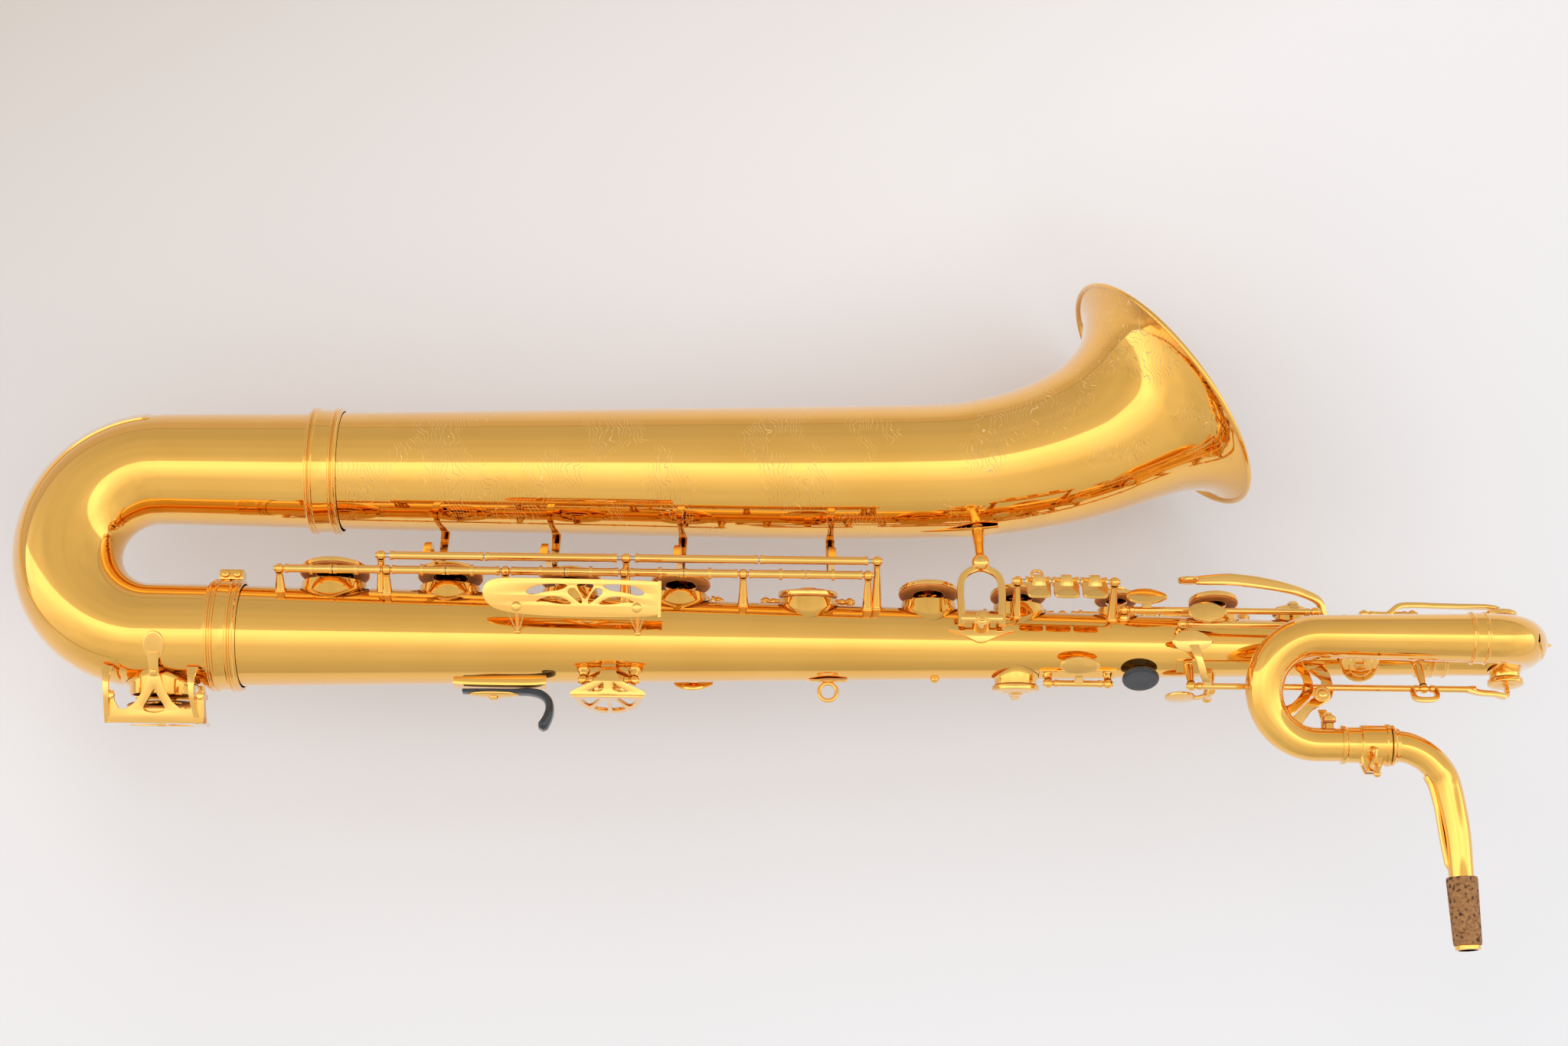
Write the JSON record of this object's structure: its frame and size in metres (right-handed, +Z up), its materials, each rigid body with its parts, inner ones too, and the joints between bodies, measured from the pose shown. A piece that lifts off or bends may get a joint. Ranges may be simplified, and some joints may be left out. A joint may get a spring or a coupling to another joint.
{
  "type": "baritone saxophone",
  "caption": "Curved-bell baritone saxophone with low-A bell, double-looped crook, detachable neck and hinged keywork that opens and closes over the tone holes.",
  "frame": {"origin": "centre of the footprint at the lowest point of the bow, with the instrument standing upright", "axes": "+Z up along the body tube, -Y towards the front where the bell opens, +Y towards the player, +X towards the player's left hand"},
  "size_m": [0.184, 0.4662, 1.0365],
  "materials": {
    "lacquered_brass": "polished gold lacquer",
    "steel": "ground steel rod",
    "pad_leather": "smooth tan kid leather",
    "cork": "sanded natural cork",
    "black_plastic": "satin moulded plastic"
  },
  "bodies": {
    "instrument": {"body_tube": "lacquered_brass", "bow": "lacquered_brass", "bell": "lacquered_brass", "crook": "lacquered_brass", "body_bow_ring": "lacquered_brass", "bell_bow_ring": "lacquered_brass", "bell_brace": "lacquered_brass", "crook_bracket": "lacquered_brass", "bow_key_guard": "lacquered_brass", "trill_key_guard": "lacquered_brass", "bell_key_guard": "lacquered_brass", "stack_guard": "lacquered_brass", "strap_ring": "lacquered_brass", "thumb_rest": "black_plastic", "lower_stack_rod": "steel", "upper_stack_rod": "steel", "bell_key_rod": "steel", "table_rod": "steel", "front_rod": "steel"},
    "key_d": {"key_d": "lacquered_brass", "pad_d": "pad_leather"},
    "key_e": {"key_e": "lacquered_brass", "pad_e": "pad_leather"},
    "key_f": {"key_f": "lacquered_brass", "pad_f": "pad_leather"},
    "key_fsharp": {"key_fsharp": "lacquered_brass", "pad_fsharp": "pad_leather"},
    "key_g": {"key_g": "lacquered_brass", "pad_g": "pad_leather"},
    "key_a": {"key_a": "lacquered_brass", "pad_a": "pad_leather"},
    "key_b": {"key_b": "lacquered_brass"},
    "key_c": {"key_c": "lacquered_brass", "pad_c": "pad_leather"},
    "key_low_csharp": {"key_low_csharp": "lacquered_brass"},
    "key_low_b": {"key_low_b": "lacquered_brass"},
    "key_low_bb": {"key_low_bb": "lacquered_brass"},
    "key_low_a": {"key_low_a": "lacquered_brass"},
    "table_gsharp": {"table_gsharp": "lacquered_brass"},
    "table_low_b": {"table_low_b": "lacquered_brass"},
    "table_low_bb": {"table_low_bb": "lacquered_brass"},
    "key_gsharp": {"key_gsharp": "lacquered_brass"},
    "key_low_eb": {"key_low_eb": "lacquered_brass"},
    "key_trill_fsharp": {"key_trill_fsharp": "lacquered_brass"},
    "key_side_bb": {"key_side_bb": "lacquered_brass"},
    "key_side_c": {"key_side_c": "lacquered_brass"},
    "key_palm_d": {"key_palm_d": "lacquered_brass"},
    "key_palm_eb": {"key_palm_eb": "lacquered_brass"},
    "key_palm_f": {"key_palm_f": "lacquered_brass"},
    "key_high_e": {"key_high_e": "lacquered_brass"},
    "front_f_lever": {"front_f_lever": "lacquered_brass"},
    "low_a_thumb_lever": {"low_a_thumb_lever": "lacquered_brass"},
    "octave_thumb_lever": {"octave_thumb_lever": "lacquered_brass"},
    "octave_vent_key": {"octave_vent_key": "lacquered_brass"},
    "key_low_c": {"key_low_c": "lacquered_brass", "pad_low_c": "pad_leather"},
    "neck": {"neck": "lacquered_brass", "neck_cork": "cork"},
    "neck_screw": {"neck_screw": "lacquered_brass"},
    "thumb_hook": {"thumb_hook": "black_plastic"}
  },
  "joints": [
    {"name": "key_d_hinge", "type": "hinge", "parent": "instrument", "child": "key_d", "pos_m": [-0.02974, -0.01333, 0.2214], "axis": [0, 0, 1], "range_deg": [0, 10]},
    {"name": "key_e_hinge", "type": "hinge", "parent": "instrument", "child": "key_e", "pos_m": [-0.02974, -0.01333, 0.3004], "axis": [0, 0, 1], "range_deg": [0, 10]},
    {"name": "key_f_hinge", "type": "hinge", "parent": "instrument", "child": "key_f", "pos_m": [-0.02974, -0.01333, 0.3824], "axis": [0, 0, 1], "range_deg": [0, 10]},
    {"name": "key_fsharp_hinge", "type": "hinge", "parent": "instrument", "child": "key_fsharp", "pos_m": [-0.02974, -0.01333, 0.4574], "axis": [0, 0, 1], "range_deg": [0, 10]},
    {"name": "key_g_hinge", "type": "hinge", "parent": "instrument", "child": "key_g", "pos_m": [-0.02545, -0.00493, 0.6264], "axis": [0, 0, 1], "range_deg": [0, 10]},
    {"name": "key_a_hinge", "type": "hinge", "parent": "instrument", "child": "key_a", "pos_m": [-0.02545, -0.00493, 0.6874], "axis": [0, 0, 1], "range_deg": [0, 10]},
    {"name": "key_b_hinge", "type": "hinge", "parent": "instrument", "child": "key_b", "pos_m": [-0.02545, -0.00493, 0.7544], "axis": [0, 0, 1], "range_deg": [0, 10]},
    {"name": "key_c_hinge", "type": "hinge", "parent": "instrument", "child": "key_c", "pos_m": [-0.02545, -0.00493, 0.8204], "axis": [0, 0, 1], "range_deg": [0, 10]},
    {"name": "key_low_csharp_hinge", "type": "hinge", "parent": "instrument", "child": "key_low_csharp", "pos_m": [0.03327, -0.02211, 0.2864], "axis": [0, 0, 1], "range_deg": [0, 6]},
    {"name": "key_low_b_hinge", "type": "hinge", "parent": "instrument", "child": "key_low_b", "pos_m": [0.03327, -0.02211, 0.3654], "axis": [0, 0, 1], "range_deg": [0, 6]},
    {"name": "key_low_bb_hinge", "type": "hinge", "parent": "instrument", "child": "key_low_bb", "pos_m": [0.03327, -0.02211, 0.4554], "axis": [0, 0, 1], "range_deg": [0, 6]},
    {"name": "key_low_a_hinge", "type": "hinge", "parent": "instrument", "child": "key_low_a", "pos_m": [0.03327, -0.02211, 0.5604], "axis": [0, 0, 1], "range_deg": [0, 6]},
    {"name": "table_gsharp_hinge", "type": "hinge", "parent": "instrument", "child": "table_gsharp", "pos_m": [0.03716, -0.00805, 0.6979], "axis": [0, 0, 1], "range_deg": [0, 6]},
    {"name": "table_low_b_hinge", "type": "hinge", "parent": "instrument", "child": "table_low_b", "pos_m": [0.03716, -0.00805, 0.7164], "axis": [0, 0, 1], "range_deg": [0, 6]},
    {"name": "table_low_bb_hinge", "type": "hinge", "parent": "instrument", "child": "table_low_bb", "pos_m": [0.03716, -0.00805, 0.7354], "axis": [0, 0, 1], "range_deg": [0, 6]},
    {"name": "key_gsharp_hinge", "type": "hinge", "parent": "instrument", "child": "key_gsharp", "pos_m": [-0.0229, -0.01115, 0.5444], "axis": [0, 0, 1], "range_deg": [-9, 0]},
    {"name": "key_low_eb_hinge", "type": "hinge", "parent": "instrument", "child": "key_low_eb", "pos_m": [-0.03631, 0.00047, 0.1904], "axis": [0, 0, 1], "range_deg": [0, 9]},
    {"name": "key_trill_fsharp_hinge", "type": "hinge", "parent": "instrument", "child": "key_trill_fsharp", "pos_m": [0.01714, 0.05903, 0.4114], "axis": [0, 0, 1], "range_deg": [-4, 0]},
    {"name": "key_side_bb_hinge", "type": "hinge", "parent": "instrument", "child": "key_side_bb", "pos_m": [-0.03127, 0.03531, 0.6854], "axis": [0, 0, 1], "range_deg": [0, 9]},
    {"name": "key_side_c_hinge", "type": "hinge", "parent": "instrument", "child": "key_side_c", "pos_m": [-0.026, 0.00741, 0.7204], "axis": [0, 0, 1], "range_deg": [0, 9]},
    {"name": "key_palm_d_hinge", "type": "hinge", "parent": "instrument", "child": "key_palm_d", "pos_m": [0.0198, 0.00561, 0.8724], "axis": [0, 0, 1], "range_deg": [0, 9]},
    {"name": "key_palm_eb_hinge", "type": "hinge", "parent": "instrument", "child": "key_palm_eb", "pos_m": [0.02801, 0.0179, 0.9144], "axis": [0, 0, 1], "range_deg": [-7, 0]},
    {"name": "key_palm_f_hinge", "type": "hinge", "parent": "instrument", "child": "key_palm_f", "pos_m": [0.022, 0.0594, 1.0141], "axis": [0, 0, 1], "range_deg": [-6, 0]},
    {"name": "key_high_e_hinge", "type": "hinge", "parent": "instrument", "child": "key_high_e", "pos_m": [-0.009, -0.0026, 1.0141], "axis": [0, 0, 1], "range_deg": [-8, 0]},
    {"name": "front_f_lever_hinge", "type": "hinge", "parent": "instrument", "child": "front_f_lever", "pos_m": [-0.01139, -0.00017, 0.8984], "axis": [0, 0, 1], "range_deg": [-3, 0]},
    {"name": "low_a_thumb_lever_hinge", "type": "hinge", "parent": "instrument", "child": "low_a_thumb_lever", "pos_m": [0.00777, 0.05438, 0.7264], "axis": [0, 0, 1], "range_deg": [-6, 0]},
    {"name": "octave_thumb_lever_hinge", "type": "hinge", "parent": "instrument", "child": "octave_thumb_lever", "pos_m": [-0.007, 0.0564, 0.8164], "axis": [1, 0, 0], "range_deg": [-6, 0]},
    {"name": "octave_vent_key_hinge", "type": "hinge", "parent": "instrument", "child": "octave_vent_key", "pos_m": [0.014, 0.0874, 0.8894], "axis": [0, 0, 1], "range_deg": [-6, 0]},
    {"name": "key_low_c_hinge", "type": "hinge", "parent": "instrument", "child": "key_low_c", "pos_m": [-0.03766, 0.05829, 0.1084], "axis": [0, 0, 1], "range_deg": [-10, 0]},
    {"name": "neck_hinge", "type": "hinge", "parent": "instrument", "child": "neck", "pos_m": [0.028, 0.1004, 0.9274], "axis": [0, 0, 1], "range_deg": [-12, 12]},
    {"name": "neck_screw_hinge", "type": "hinge", "parent": "instrument", "child": "neck_screw", "pos_m": [0.04, 0.1169, 0.9154], "axis": [1, 0, 0], "range_deg": [-180, 180]},
    {"name": "thumb_hook_slide", "type": "slide", "parent": "instrument", "child": "thumb_hook", "axis": [0, 0, 1], "range_m": [-0.006, 0.006]}
  ],
  "couplings": [
    {"joint": "key_fsharp_hinge", "follows": "key_f_hinge", "ratio": 1},
    {"joint": "key_c_hinge", "follows": "key_b_hinge", "ratio": 1},
    {"joint": "key_low_b_hinge", "follows": "table_low_b_hinge", "ratio": 1},
    {"joint": "key_low_bb_hinge", "follows": "table_low_bb_hinge", "ratio": 1},
    {"joint": "key_low_a_hinge", "follows": "low_a_thumb_lever_hinge", "ratio": -1},
    {"joint": "key_gsharp_hinge", "follows": "table_gsharp_hinge", "ratio": -1.5},
    {"joint": "octave_vent_key_hinge", "follows": "octave_thumb_lever_hinge", "ratio": 1}
  ]
}
